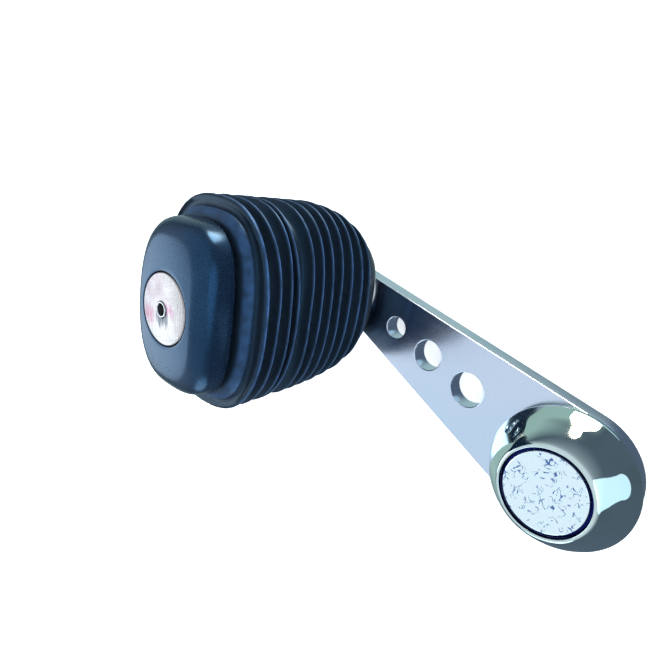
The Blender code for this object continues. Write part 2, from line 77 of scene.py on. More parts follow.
# ---------------------------------------------------------------- sizes that repeat the design's

KNOB_TURN = radians(-69.3)
LIGHTENING_HOLES = ((25.1, 3.9), (36.9, 3.45), (47.2, 2.55))
DRIVE_HOLE_RADIUS = 4.0
DRIVE_HOLE_FLATS = 5.6
POST_SINK_RADIUS = 4.3
GRIP_SECTIONS = (  # height, long half, short half, power
    (46.2, 21.0, 16.5, 2.4),
    (38.0, 20.9, 15.25, 2.5),
    (30.0, 20.75, 14.2, 2.65),
    (22.0, 20.6, 13.4, 2.5),
    (15.0, 18.75, 13.6, 2.5),
    (10.5, 15.0, 12.5, 2.6),
)
FIN_TOP = 46.2
FIN_PITCH = 3.28
FIN_COUNT = 11
FIN_DEPTH = 2.3
LIP_POWER = 2.8
BORE_LONG = 10.8  # half sizes of the sleeve's bore
BORE_SHORT = 7.9
BORE_POWER = 3.0
COVER_MOUTH = 8.6
COVER_FLANK = (  # radius, height over the foot
    (14.35, 2.1),
    (13.4, 4.0),
    (12.1, 6.0),
    (10.75, 8.0),
    (9.7, 9.4),
)
COVER_INSIDE_FOOT = 12.9
COVER_INSIDE = ((11.2, 4.6), (9.6, 2.9), (8.0, 2.3), (0.02, 2.3))  # radius, depth under the top
CAP_BOTTOM = 49.5
CAP_LONG = 16.46
CAP_SHORT = 11.11
CAP_DRAFT = 0.24
CAP_EDGE = 3.32
CAP_POWER = 3.07
CAP_CROWN_RADIUS = 79.0
SPIGOT_RADIUS = 6.4
SPIGOT_BORE = 4.7
DISC_RADIUS = 6.75
DISC_SEAT = 54.5
DISC_RIM = 56.66
DISC_CROWN_RADIUS = 43.0
OIL_PORT_RADIUS = 1.15


# ---------------------------------------------------------------- camera, floor and light

CAMERA_AT = Vector((-2.807, -57.103, 108.375)) * MM
CAMERA_RIGHT = Vector((-0.6374, -0.3850, -0.6675))
CAMERA_BACK = Vector((-0.4664, -0.4970, 0.7318))
CAMERA_LENS = 29.43
FLOOR_FLAT = 1400  # radius of the flat part, in mm
FLOOR_SWEEP = 800  # radius of the sweep up to the wall
WALL_TOP = 4000
HORIZON = (0.10, 0.14, 0.19)
ZENITH = (0.80, 0.90, 1.0)
CARD = (0.42, 0.59, 0.58)


def make_camera():
    camera = bpy.data.objects.new("camera", bpy.data.cameras.new("camera"))
    bpy.context.scene.collection.objects.link(camera)
    back = CAMERA_BACK.normalized()
    up = back.cross(CAMERA_RIGHT).normalized()
    right = up.cross(back)
    rotation = Matrix((right, up, back)).transposed()
    camera.matrix_world = Matrix.Translation(CAMERA_AT) @ rotation.to_4x4()
    camera.data.lens = CAMERA_LENS
    camera.data.sensor_width = 36
    camera.data.clip_start = 0.005
    bpy.context.scene.camera = camera


def softbox(name, place, target, size, radiance, color):
    """A round area light. Its power gives the radiance, which is what a glossy surface shows of it."""
    light = bpy.data.lights.new(name, "AREA")
    light.shape = "DISK"
    light.size = size
    light.energy = radiance * pi * pi * size * size / 4
    light.color = color
    holder = bpy.data.objects.new(name, light)
    bpy.context.scene.collection.objects.link(holder)
    holder.location = place
    holder.rotation_euler = (Vector(place) - Vector(target)).to_track_quat("Z", "Y").to_euler()
    holder.visible_camera = False


def make_world():
    """A pale studio, darker towards the horizon and below it, with a pale card low on the hub's side."""
    world = bpy.data.worlds.new("studio")
    bpy.context.scene.world = world
    world.use_nodes = True
    tree = world.node_tree
    background = tree.nodes["Background"]
    coordinates = tree.nodes.new("ShaderNodeTexCoord")
    split = tree.nodes.new("ShaderNodeSeparateXYZ")
    ramp = tree.nodes.new("ShaderNodeValToRGB")
    tree.links.new(coordinates.outputs["Generated"], split.inputs[0])
    tree.links.new(split.outputs["Z"], ramp.inputs["Fac"])

    def rising(axis, low, high):
        """0 to 1 as the direction's part along this axis goes from low to high."""
        node = tree.nodes.new("ShaderNodeMapRange")
        node.inputs["From Min"].default_value = low
        node.inputs["From Max"].default_value = high
        tree.links.new(split.outputs[axis], node.inputs["Value"])
        return node.outputs["Result"]

    both = tree.nodes.new("ShaderNodeMath")
    both.operation = "MULTIPLY"
    tree.links.new(rising("X", 0.0, 0.4), both.inputs[0])
    tree.links.new(rising("Z", 0.05, -0.12), both.inputs[1])
    card = tree.nodes.new("ShaderNodeMix")
    card.data_type = "RGBA"
    tree.links.new(both.outputs["Value"], card.inputs["Factor"])
    tree.links.new(ramp.outputs["Color"], card.inputs["A"])
    card.inputs["B"].default_value = (*CARD, 1)
    tree.links.new(card.outputs["Result"], background.inputs["Color"])
    # Generated Z is -1 to 1 here, and the ramp clamps, so everything under the horizon has its first colour.
    elements = ramp.color_ramp.elements
    elements[0].position, elements[0].color = 0.05, (*HORIZON, 1)
    elements[1].position, elements[1].color = 0.62, (*ZENITH, 1)


def make_floor():
    """A plain white floor that sweeps up far off. Reflections miss it, so polished metal keeps dark tones."""
    profile = [(1, 0)] + arc_points((FLOOR_FLAT, FLOOR_SWEEP), FLOOR_SWEEP, -90, 0, 24)
    profile += [(FLOOR_FLAT + FLOOR_SWEEP, WALL_TOP)]
    mesh = bpy.data.meshes.new("floor")
    work = bmesh.new()
    made = loft(work, turned_rings(profile, 96))
    work.faces.new(made[0])
    work.to_mesh(mesh)
    work.free()
    mesh.shade_smooth()
    floor = bpy.data.objects.new("floor", mesh)
    bpy.context.scene.collection.objects.link(floor)
    floor.location.z = -0.1 * MM
    paint = bpy.data.materials.new("floor_paint")
    paint.use_nodes = True
    shader = paint.node_tree.nodes["Principled BSDF"]
    shader.inputs["Base Color"].default_value = (0.9, 0.9, 0.9, 1)
    shader.inputs["Roughness"].default_value = 0.9
    shader.inputs["Specular IOR Level"].default_value = 0.0
    shader.inputs["Emission Color"].default_value = (1, 1, 1, 1)
    shader.inputs["Emission Strength"].default_value = 0.45
    mesh.materials.append(paint)
    floor.visible_glossy = False
    floor.visible_shadow = False


SOFTBOXES = (  # name, place, target, size in metres, radiance, colour
    ("key", (0.164, -0.40, -0.09), (0.064, 0, 0.05), 0.25, 16.0, (1.0, 0.9, 0.74)),
    ("side", (-0.33, -0.16, 0.12), (0.064, 0, 0.04), 0.36, 1.4, (0.6, 0.82, 1.0)),
    ("back", (0.374, 0.248, 0.255), (0.064, 0, 0.05), 0.33, 2.2, (0.76, 0.92, 1.0)),
    ("low", (0.02, -0.29, -0.237), (0.06, 0, 0.035), 0.22, 0.7, (0.6, 0.86, 1.0)),
    ("glow", (-0.10, 0.26, 0.07), (0.05, 0.008, 0.054), 0.20, 2.6, (0.66, 0.88, 1.0)),
)


def make_studio():
    """The floor lets light through from below, so two of the softboxes stand under it."""
    make_world()
    make_floor()
    for row in SOFTBOXES:
        softbox(*row)
    bpy.context.scene.view_settings.view_transform = "Standard"


# ---------------------------------------------------------------- procedural materials


CREST = "crest"  # the sleeve's vertex attribute, which carries the share of wear and painted highlight tint


class Finish:
    """A Principled material and short calls that add texture nodes to it."""

    def __init__(self, name, color, roughness, metallic=0.0):
        self.material = bpy.data.materials.new(name)
        self.material.use_nodes = True
        self.tree = self.material.node_tree
        self.shader = self.tree.nodes["Principled BSDF"]
        self.shader.inputs["Base Color"].default_value = (*color, 1)
        self.shader.inputs["Roughness"].default_value = roughness
        self.shader.inputs["Metallic"].default_value = metallic
        self.base = color
        self.place = self.tree.nodes.new("ShaderNodeTexCoord").outputs["Object"]
        self.bumped = None

    def link(self, source, target):
        self.tree.links.new(source, target)

    def stretched(self, scale, turn=0.0, shift=0.0):
        """Object coordinates, turned about Z and then scaled unevenly, for brush marks."""
        mapping = self.tree.nodes.new("ShaderNodeMapping")
        mapping.vector_type = "TEXTURE"
        mapping.inputs["Rotation"].default_value = (0, 0, turn)
        mapping.inputs["Location"].default_value = (shift, shift, shift)
        mapping.inputs["Scale"].default_value = tuple(1 / s for s in scale)
        self.link(self.place, mapping.inputs["Vector"])
        return mapping.outputs["Vector"]

    def noise(self, scale, detail=2.0, vector=None, distortion=0.0):
        node = self.tree.nodes.new("ShaderNodeTexNoise")
        node.inputs["Scale"].default_value = scale
        node.inputs["Detail"].default_value = detail
        node.inputs["Distortion"].default_value = distortion
        self.link(self.place if vector is None else vector, node.inputs["Vector"])
        return node.outputs["Fac"]

    def attribute(self, name):
        node = self.tree.nodes.new("ShaderNodeAttribute")
        node.attribute_name = name
        return node.outputs["Fac"]

    def distance(self, point_mm):
        """Distance in metres from a point of the object at rest."""
        node = self.tree.nodes.new("ShaderNodeVectorMath")
        node.operation = "DISTANCE"
        self.link(self.place, node.inputs[0])
        node.inputs[1].default_value = tuple(value * MM for value in point_mm)
        return node.outputs["Value"]

    def ramp(self, value, low, high, out_low=0.0, out_high=1.0):
        """A clamped straight ramp of a value."""
        node = self.tree.nodes.new("ShaderNodeMapRange")
        node.inputs["From Min"].default_value = low
        node.inputs["From Max"].default_value = high
        node.inputs["To Min"].default_value = out_low
        node.inputs["To Max"].default_value = out_high
        self.link(value, node.inputs["Value"])
        return node.outputs["Result"]

    def math(self, operation, first, second):
        node = self.tree.nodes.new("ShaderNodeMath")
        node.operation = operation
        for socket, value in zip(node.inputs, (first, second)):
            if isinstance(value, (int, float)):
                socket.default_value = value
            else:
                self.link(value, socket)
        return node.outputs["Value"]

    def tint(self, factor, other):
        """The base colour goes towards the other colour by the factor; further calls stack."""
        node = self.tree.nodes.new("ShaderNodeMix")
        node.data_type = "RGBA"
        base = self.shader.inputs["Base Color"]
        if base.is_linked:
            self.link(base.links[0].from_socket, node.inputs["A"])
        else:
            node.inputs["A"].default_value = base.default_value[:]
        node.inputs["B"].default_value = (*other, 1)
        self.link(factor, node.inputs["Factor"])
        self.link(node.outputs["Result"], base)

    def rough(self, value):
        self.link(value, self.shader.inputs["Roughness"])

    def bump(self, height, distance_mm, strength=1.0):
        node = self.tree.nodes.new("ShaderNodeBump")
        node.inputs["Strength"].default_value = strength
        node.inputs["Distance"].default_value = distance_mm * MM
        self.link(height, node.inputs["Height"])
        if self.bumped is not None:
            self.link(self.bumped, node.inputs["Normal"])
        self.bumped = node.outputs["Normal"]
        self.link(self.bumped, self.shader.inputs["Normal"])


def rubber_finish():
    """Black rubber, dusty, with a paler blue along the crests that is partly wear and partly a painted highlight;
    CREST is 1 along them.
    """
    made = Finish("black_rubber_look", (0.005, 0.009, 0.015), 0.4)
    grain = made.noise(2600, 3)
    cloud = made.noise(140, 3)
    made.rough(made.ramp(made.math("ADD", grain, cloud), 0.7, 1.3, 0.30, 0.46))
    made.tint(made.ramp(cloud, 0.52, 0.75, 0.0, 0.5), (0.008, 0.014, 0.024))
    dust = made.noise(5200, 1)
    made.tint(made.ramp(dust, 0.72, 0.8, 0.0, 0.3), (0.07, 0.10, 0.13))
    # painted highlight along the fin crests and the lip's rounded edge, with some wear: a paler blue where CREST
    # is set
    crest = made.attribute(CREST)
    patchy = made.ramp(made.noise(420, 3), 0.3, 0.7, 0.25, 1.0)
    made.tint(made.math("MULTIPLY", crest, patchy), (0.036, 0.098, 0.26))
    made.bump(grain, 0.015)
    made.shader.inputs["Specular Tint"].default_value = (0.25, 0.58, 1.0, 1)
    made.shader.inputs["Specular IOR Level"].default_value = 0.42
    return made.material


def plastic_finish():
    """Satin moulded plastic with a fine grain and a few hairline scratches from use."""
    made = Finish("black_plastic_look", (0.003, 0.007, 0.015), 0.26)
    grain = made.noise(3200, 2)
    cloud = made.noise(90, 4)
    made.rough(made.ramp(made.math("ADD", grain, cloud), 0.7, 1.3, 0.20, 0.31))
    made.tint(made.ramp(cloud, 0.5, 0.8, 0.0, 0.45), (0.006, 0.018, 0.036))
    made.bump(grain, 0.003)
    for turn, place in ((35, 0.0), (-20, 7.0)):
        lines = made.noise(1, 2, made.stretched((90, 2400, 2400), radians(turn), place))
        made.bump(made.ramp(lines, 0.74, 0.76), -0.012)
    made.shader.inputs["Specular Tint"].default_value = (0.17, 0.50, 1.0, 1)
    made.shader.inputs["Specular IOR Level"].default_value = 0.9
    return made.material


def disc_finish():
    """Turned metal with fine scratches both ways, greyer along one set, with painted pink and dark reflections
    near the eyelet.
    """
    made = Finish("turned_aluminium_look", (0.44, 0.39, 0.375), 0.2, 1.0)
    streaks = made.noise(1, 3, made.stretched((220, 6000, 220), radians(35)))
    cross = made.noise(1, 3, made.stretched((300, 5200, 300), radians(-62)))
    smear = made.noise(1, 3, made.stretched((260, 1300, 260), radians(-62)))
    cloud = made.noise(230, 3)
    made.rough(made.ramp(made.math("ADD", streaks, cloud), 0.7, 1.3, 0.12, 0.32))
    made.bump(streaks, 0.03)
    made.bump(cross, 0.02)
    # a painted pink reflection, clouded, on the side away from the hub
    pink_reflection_mask = made.ramp(made.distance((CRANK_LENGTH + 4.0, -0.6, DISC_RIM)), 3.0 * MM, 6.2 * MM, 1.0, 0.0)
    made.tint(made.math("MULTIPLY", pink_reflection_mask, made.ramp(cloud, 0.35, 0.6, 0.25, 0.9)), (0.31, 0.22, 0.24))
    made.tint(made.ramp(cross, 0.52, 0.66, 0.0, 0.4), (0.27, 0.25, 0.26))
    # painted reflections: two pink patches and, beside the eyelet on the hub's side, two dark ones
    for x, y, reach, color in (
        (3.4, 3.3, 1.9, (0.34, 0.10, 0.16)),
        (-1.9, -1.2, 1.5, (0.40, 0.18, 0.26)),
        (-0.2, 1.7, 1.7, (0.05, 0.06, 0.08)),
        (-1.7, 0.9, 1.5, (0.05, 0.06, 0.08)),
    ):
        spot = made.distance((CRANK_LENGTH + x, y, DISC_RIM + 0.4))
        ragged = made.math("ADD", spot, made.ramp(smear, 0.3, 0.7, -1.1 * MM, 1.1 * MM))
        made.tint(made.ramp(ragged, 0.3 * reach * MM, 1.1 * reach * MM, 0.75, 0.0), color)
    return made.material


def satin_arm_finish():
    """Bead-blasted and plated: even satin with a fine speckle."""
    made = Finish("satin_arm_look", (0.62, 0.71, 0.83), 0.2, 1.0)
    blast = made.noise(3000, 2)
    cloud = made.noise(120, 3)
    made.rough(made.ramp(made.math("ADD", blast, cloud), 0.7, 1.3, 0.15, 0.26))
    made.tint(made.ramp(blast, 0.56, 0.74, 0.0, 0.5), (0.50, 0.56, 0.72))
    made.tint(made.ramp(made.noise(34, 2), 0.42, 0.68, 0.0, 0.6), (0.70, 0.71, 0.80))
    made.bump(blast, 0.006)
    return made.material


def chrome_finish():
    """Polished chrome, faintly smudged, with painted dark navy shade and reflection in the groove round the inlay.
    """
    made = Finish("chrome_look", (0.64, 0.73, 0.70), 0.04, 1.0)
    smudge = made.noise(220, 4)
    made.tint(made.ramp(made.noise(160, 3), 0.5, 0.7, 0.0, 0.6), (0.56, 0.66, 0.56))
    apart = made.distance((0, 0, COVER_TOP - 0.6))
    # painted shade and dark reflection in the groove round the inlay: dark navy and rougher
    groove = made.ramp(apart, (COVER_MOUTH - 0.01) * MM, (COVER_MOUTH + 0.03) * MM, 1, 0)
    made.tint(groove, (0.006, 0.010, 0.09))
    made.rough(made.math("ADD", made.ramp(smudge, 0.45, 0.8, 0.02, 0.12), made.math("MULTIPLY", groove, 0.2)))
    made.bump(made.noise(190, 2), 0.01)
    return made.material


def hammered_finish():
    """Silvered and lightly hammered; little curved dents have tarnished blue-grey."""
    made = Finish("hammered_silver_look", (0.86, 0.96, 0.97), 0.26, 1.0)
    fleck = made.noise(1500, 3)
    made.rough(made.ramp(fleck, 0.4, 0.7, 0.2, 0.36))
    worm = made.noise(560, 1, distortion=1.0)
    band = made.math("ABSOLUTE", made.math("SUBTRACT", worm, 0.5), 0)
    patch = made.ramp(made.noise(640, 1), 0.47, 0.53)
    mark = made.math("MULTIPLY", made.ramp(band, 0.014, 0.034, 1.0, 0.0), patch)
    made.tint(mark, (0.10, 0.18, 0.40))
    made.bump(fleck, 0.01)
    made.bump(mark, -0.02)
    return made.material


def metal_finish(name, color, roughness, grain_scale, grain_mm, patina):
    made = Finish(name, color, roughness, 1.0)
    grain = made.noise(grain_scale, 3)
    cloud = made.noise(300, 3)
    made.rough(made.ramp(cloud, 0.3, 0.7, roughness * 0.75, roughness * 1.3))
    made.tint(made.ramp(cloud, 0.5, 0.8, 0.0, 0.5), patina)
    made.bump(grain, grain_mm)
    return made.material


def nylon_finish():
    made = Finish("nylon_look", (0.8, 0.78, 0.71), 0.5)
    cloud = made.noise(400, 3)
    made.rough(made.ramp(cloud, 0.3, 0.7, 0.42, 0.6))
    made.tint(made.ramp(cloud, 0.5, 0.8, 0.0, 0.5), (0.68, 0.64, 0.55))
    made.bump(made.noise(2500, 2), 0.01)
    return made.material


def plain_metals():
    """The hidden metals: slot, colour, roughness, grain scale, grain height in mm, patina."""
    rows = (
        ("bright_steel", (0.7, 0.7, 0.71), 0.2, 3000, 0.004, (0.55, 0.54, 0.52)),
        ("bearing_steel", (0.6, 0.61, 0.62), 0.12, 4000, 0.002, (0.45, 0.44, 0.43)),
        ("brass", (0.8, 0.6, 0.28), 0.26, 2800, 0.005, (0.55, 0.38, 0.16)),
    )
    return {slot: metal_finish(slot + "_look", *row) for slot, *row in rows}


LOOKS = {
    "arm_aluminium": satin_arm_finish(),
    "chrome": chrome_finish(),
    "hammered_silver": hammered_finish(),
    "black_rubber": rubber_finish(),
    "black_plastic": plastic_finish(),
    "turned_aluminium": disc_finish(),
    "nylon": nylon_finish(),
    **plain_metals(),
}


# ---------------------------------------------------------------- mesh helpers


def finish_piece(name, work, slot, body, *replaced, sharp=35):
    """Makes the bmesh an object that rides on a body and stands for the CAD nodes."""
    mesh = bpy.data.meshes.new(name)
    bmesh.ops.recalc_face_normals(work, faces=work.faces)
    work.to_mesh(mesh)
    work.free()
    return place_piece(name, mesh, slot, body, *replaced, sharp=sharp)


def place_piece(name, mesh, slot, body, *replaced, sharp=35):
    """Makes the mesh an object that rides on a body. With sharp=None its own sharp edges stay."""
    if sharp is not None:
        mesh.shade_smooth()
        mesh.set_sharp_from_angle(angle=radians(sharp))
    mesh.materials.clear()
    mesh.materials.append(LOOKS[slot])
    obj = bpy.data.objects.new(name, mesh)
    bpy.context.scene.collection.objects.link(obj)
    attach(obj, body)
    if replaced:
        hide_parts(*replaced)
    return obj


def section_point(angle, long_half, short_half, power):
    """The point of a superellipse in this direction."""
    reach = abs(cos(angle) / long_half) ** power + abs(sin(angle) / short_half) ** power
    radius = reach ** (-1 / power)
    return radius * cos(angle), radius * sin(angle)


def directions(count, stretch=1.3):
    """Angles spread evenly round an ellipse of about the knob's aspect."""
    turns = [2 * pi * i / count for i in range(count)]
    return [atan2(sin(t), stretch * cos(t)) for t in turns]


def on_knob(x, y, z):
    """A point of the knob's own axes in the row frame; x runs along the knob's long side. In mm."""
    turned_x = x * cos(KNOB_TURN) - y * sin(KNOB_TURN)
    turned_y = x * sin(KNOB_TURN) + y * cos(KNOB_TURN)
    return Vector((CRANK_LENGTH + turned_x, turned_y, z)) * MM


def loft(work, rings, cyclic=False):
    """Joins rings of equal length, each a list of points in metres, by bands of quads."""
    made = [[work.verts.new(point) for point in ring] for ring in rings]
    pairs = list(zip(made, made[1:]))
    if cyclic:
        pairs.append((made[-1], made[0]))
    for above, below in pairs:
        for i in range(len(above)):
            j = (i + 1) % len(above)
            work.faces.new((above[i], below[i], below[j], above[j]))
    return made


def turned_rings(profile, segments, center=(0.0, 0.0)):
    """Rings of a body of revolution about a vertical axis, from a profile in mm."""
    angles = [2 * pi * i / segments for i in range(segments)]
    return [
        [Vector((center[0] + r * cos(a), center[1] + r * sin(a), z)) * MM for a in angles]
        for r, z in profile
    ]


def arc_points(center, radius, start, end, steps):
    """Points on an arc in a profile, angles in degrees, 0 pointing outwards and 90 up."""
    angles = [radians(start + (end - start) * i / steps) for i in range(steps + 1)]
    return [(center[0] + radius * cos(a), center[1] + radius * sin(a)) for a in angles]


def grip_section(height):
    """The sleeve's outer long half, short half and power, straight between the rows of GRIP_SECTIONS."""
    for above, below in zip(GRIP_SECTIONS, GRIP_SECTIONS[1:]):
        if height >= below[0]:
            break
    share = min(1.0, max(0.0, (height - below[0]) / (above[0] - below[0])))
    return [b + (a - b) * share for a, b in zip(above[1:], below[1:])]


def smooth_section(height, reach=2.0, steps=4):
    """The same, averaged over a short height so that the taper has no corners."""
    rows = [grip_section(height + reach * k / steps) for k in range(-steps, steps + 1)]
    return [sum(column) / len(rows) for column in zip(*rows)]


# ---------------------------------------------------------------- knob


SLEEVE_SEGMENTS = 224
SKIN_INSET = 0.08  # how far the fine skin stays inside the CAD solid's outline
FIN_EDGE = 0.36  # radius of a fin's rounded crest
FLANGE_EDGE = 0.6


def angle_between(a, b):
    return (a - b + pi) % (2 * pi) - pi


def fin_bend(number, angle):
    """How far a fin's crest leans up (+) or down (-) at this direction. Two of them are pinched together."""
    wave = 0.08 * sin(3 * angle + number * 1.7) + 0.05 * sin(5 * angle - number * 2.3)
    ends = sum(exp(-((angle_between(angle, radians(at)) / 0.6) ** 2)) for at in (-22, -158))
    if number == 3:
        return wave + 0.75 + 0.75 * ends
    if number == 2:
        return wave - 0.35 * ends
    return wave


def fin_profile(number):
    """Rows of (height, inset, lean, fin that it leans with, wear and painted highlight) across one fin and the
    groove under it.
    """
    middle = FIN_TOP - FIN_PITCH * number
    radius = FLANGE_EDGE if number == 0 else FIN_EDGE
    rows = []
    # the rows round the crest get a share of the paler blue: part wear, part painted highlight
    for step, wear_and_highlight in enumerate((0, 0, 0.15, 0.7, 0.8, 0.1, 0)):
        angle = radians(90 - 30 * step)
        inset = SKIN_INSET + radius * (1 - cos(angle))
        rows.append((middle + radius * sin(angle), inset, 1.0, number, wear_and_highlight))
    if number == FIN_COUNT - 1:
        return rows
    groove = middle - FIN_PITCH / 2
    following = middle - FIN_PITCH
    rows.append((middle - radius - 0.12, FIN_DEPTH * 0.5, 0.8, number, 0))
    rows.append((groove + 0.75, FIN_DEPTH * 0.85, 0.5, number, 0))
    rows.append((groove + 0.40, FIN_DEPTH, 0.35, number, 0))
    rows.append((groove - 0.40, FIN_DEPTH, 0.35, number + 1, 0))
    rows.append((groove - 0.75, FIN_DEPTH * 0.85, 0.5, number + 1, 0))
    rows.append((following + FIN_EDGE + 0.12, FIN_DEPTH * 0.5, 0.8, number + 1, 0))
    return rows


def flash(number, x, y):
    """The ragged moulding flash along a crest, coarser on the flange."""
    if number == 0:
        coarse = 0.07 * noise.noise(Vector((x * 1.6, y * 1.6, 2.0)))
        return coarse + 0.04 * noise.noise(Vector((x * 4, y * 4, 5.0)))
    return 0.05 * noise.noise(Vector((x * 0.9, y * 0.9, number * 7.0)))


def make_grip_sleeve():
    """Moulded rubber: a rounded lip, a broad flange and thin fins with a little flash and a bent pair."""
    angles = directions(SLEEVE_SEGMENTS)

    def plain_ring(height, long_half, short_half, power):
        return [on_knob(*section_point(a, long_half, short_half, power), height) for a in angles]

    lip = (
        (0.02, BORE_LONG, BORE_SHORT),
        (0.02, 15.6, 10.4),
        (0.1, 16.6, 11.4),
        (0.35, 17.5, 12.3),
        (0.75, 18.15, 12.95),
        (1.25, 18.5, 13.3),
        (1.75, 18.55, 13.4),
        (2.05, 18.6, 13.5),
        (2.15, 18.9, 13.9),
        (2.1, 19.5, 14.8),
    )
    rings = [plain_ring(SLEEVE_TOP - drop, *halves, LIP_POWER) for drop, *halves in lip]
    # a painted highlight on the lip's rounded edge, in the same paler blue as the crests
    wear_and_highlight_rows = [0.35 if 0.3 < drop < 1.3 else 0.0 for drop, *_ in lip]
    for number in range(FIN_COUNT):
        for height, inset, lean, leader, wear_and_highlight in fin_profile(number):
            held = min(height, FIN_TOP)
            long_half, short_half, power = smooth_section(held)
            ring = []
            for a in angles:
                x, y = section_point(a, long_half - inset, short_half - inset, power)
                scale = 1.0
                if lean == 1.0:
                    scale += flash(number, x, y) / hypot(x, y)
                ring.append(on_knob(x * scale, y * scale, height + lean * fin_bend(leader, a)))
            rings.append(ring)
            wear_and_highlight_rows.append(wear_and_highlight)
    base = (
        (12.4, 16.0, 12.2),
        (11.9, 15.2, 11.9),
        (10.6, 14.5, 11.5),
        (9.0, 13.4, 10.8),
        (7.7, 12.3, 10.1),
        (SLEEVE_LOW + 0.3, 11.8, 9.7),
        (SLEEVE_LOW, 11.4, 9.3),
        (SLEEVE_LOW, BORE_LONG, BORE_SHORT),
    )
    rings += [plain_ring(height, *halves, BORE_POWER) for height, *halves in base]
    wear_and_highlight_rows += [0.0] * len(base)
    work = bmesh.new()
    crest = work.verts.layers.float.new(CREST)
    made = loft(work, rings, cyclic=True)
    for ring, wear_and_highlight in zip(made, wear_and_highlight_rows):
        for vert in ring:
            vert[crest] = wear_and_highlight
    finish_piece("rubber_grip_sleeve", work, "black_rubber", "knob", "grip_sleeve", sharp=60)


def crown(radius, sphere):
    """Height of a crowned face this far from the knob's axis; the disc's rim is on both spheres."""
    return DISC_RIM + (DISC_RADIUS**2 - radius**2) / (2 * sphere)


def make_end_cap():
    """The crowned cap: a spherical face, a wide rounded edge, a drafted side, a seat for the disc."""
    angles = directions(200)
    seat = DISC_RADIUS + 0.2
    lead = seat + 0.12
    rings = []

    def round_ring(radius, z):
        rings.append([on_knob(radius * cos(a), radius * sin(a), z) for a in angles])

    def wall_ring(more, z):
        halves = CAP_LONG + more, CAP_SHORT + more
        rings.append([on_knob(*section_point(a, *halves, CAP_POWER), z) for a in angles])

    round_ring(SPIGOT_BORE, SPIGOT_LOW)
    round_ring(SPIGOT_BORE, DISC_SEAT)
    round_ring(seat, DISC_SEAT)
    round_ring(seat, DISC_RIM - 0.12)
    round_ring(lead, crown(lead, CAP_CROWN_RADIUS))
    flats = []
    for a in angles:
        flat = hypot(*section_point(a, CAP_LONG - CAP_EDGE, CAP_SHORT - CAP_EDGE, CAP_POWER))
        flats.append(max(flat, lead + 0.3))
    face_steps, edge_steps = 8, 14
    for step in range(1, face_steps + 1):
        ring = []
        for a, flat in zip(angles, flats):
            radius = lead + (flat - lead) * step / face_steps
            ring.append(on_knob(radius * cos(a), radius * sin(a), crown(radius, CAP_CROWN_RADIUS)))
        rings.append(ring)
    for step in range(1, edge_steps + 1):
        turn = pi / 2 * step / edge_steps
        ring = []
        for a, flat in zip(angles, flats):
            wall = hypot(*section_point(a, CAP_LONG, CAP_SHORT, CAP_POWER))
            radius = flat + (wall - flat) * sin(turn)
            slope = flat / CAP_CROWN_RADIUS * (radius - flat)
            z = crown(flat, CAP_CROWN_RADIUS) - slope - CAP_EDGE * (1 - cos(turn))
            ring.append(on_knob(radius * cos(a), radius * sin(a), z))
        rings.append(ring)
    wall_ring(CAP_DRAFT, CAP_BOTTOM + 0.5)
    wall_ring(CAP_DRAFT - 0.05, CAP_BOTTOM + 0.25)
    wall_ring(CAP_DRAFT - 0.3, CAP_BOTTOM + 0.05)
    wall_ring(CAP_DRAFT - 0.6, CAP_BOTTOM)
    round_ring(SPIGOT_RADIUS, CAP_BOTTOM)
    round_ring(SPIGOT_RADIUS, SPIGOT_LOW)
    work = bmesh.new()
    loft(work, rings, cyclic=True)
    finish_piece("crowned_end_cap", work, "black_plastic", "knob", "end_cap", sharp=50)


def make_end_disc():
    """A crowned disc with faint turning rings, a broken edge and a dished seat round the eyelet."""
    hole = OIL_PORT_RADIUS + 0.36
    middle = crown(hole, DISC_CROWN_RADIUS)
    profile = [(hole, DISC_LOW), (hole, middle - 0.12), (hole + 0.1, middle - 0.03)]
    steps = 60
    first, last = hole + 0.15, DISC_RADIUS - 0.2
    for step in range(steps + 1):
        radius = first + (last - first) * step / steps
        turning = 0.004 * sin(radius * 26.0)
        dish = 0.10 * exp(-(((radius - hole) / 0.7) ** 2))
        profile.append((radius, crown(radius, DISC_CROWN_RADIUS) - dish + turning))
    profile += [(DISC_RADIUS - 0.06, DISC_RIM - 0.04), (DISC_RADIUS, DISC_RIM - 0.14)]
    profile += [(DISC_RADIUS, DISC_LOW)]
    work = bmesh.new()
    loft(work, turned_rings(profile, 144, (CRANK_LENGTH, 0)), cyclic=True)
    finish_piece("turned_end_disc", work, "turned_aluminium", "knob", "end_disc", sharp=45)


def make_oil_eyelet():
    """A thin tube with a rolled rim."""
    rim = 0.16
    outer = OIL_PORT_RADIUS + 2 * rim
    top = EYELET_TOP - rim - 0.02
    profile = [(OIL_PORT_RADIUS, EYELET_LOW)]
    profile += arc_points((OIL_PORT_RADIUS + rim, top), rim, 180, 0, 10)
    profile += [(outer, top - 0.3), (outer - 0.05, EYELET_LOW)]
    work = bmesh.new()
    loft(work, turned_rings(profile, 64, (CRANK_LENGTH, 0)), cyclic=True)
    finish_piece("rolled_oil_eyelet", work, "bright_steel", "knob", "oil_eyelet", sharp=60)


# ---------------------------------------------------------------- crank arm


def ring_spline(curve, points):
    spline = curve.splines.new("POLY")
    spline.points.add(len(points) - 1)
    for point, (x, y) in zip(spline.points, points):
        point.co = (x * MM, y * MM, 0, 1)
    spline.use_cyclic_u = True


def circle_points(x, radius, count=96):
    return [(x + radius * cos(2 * pi * i / count), radius * sin(2 * pi * i / count)) for i in range(count)]


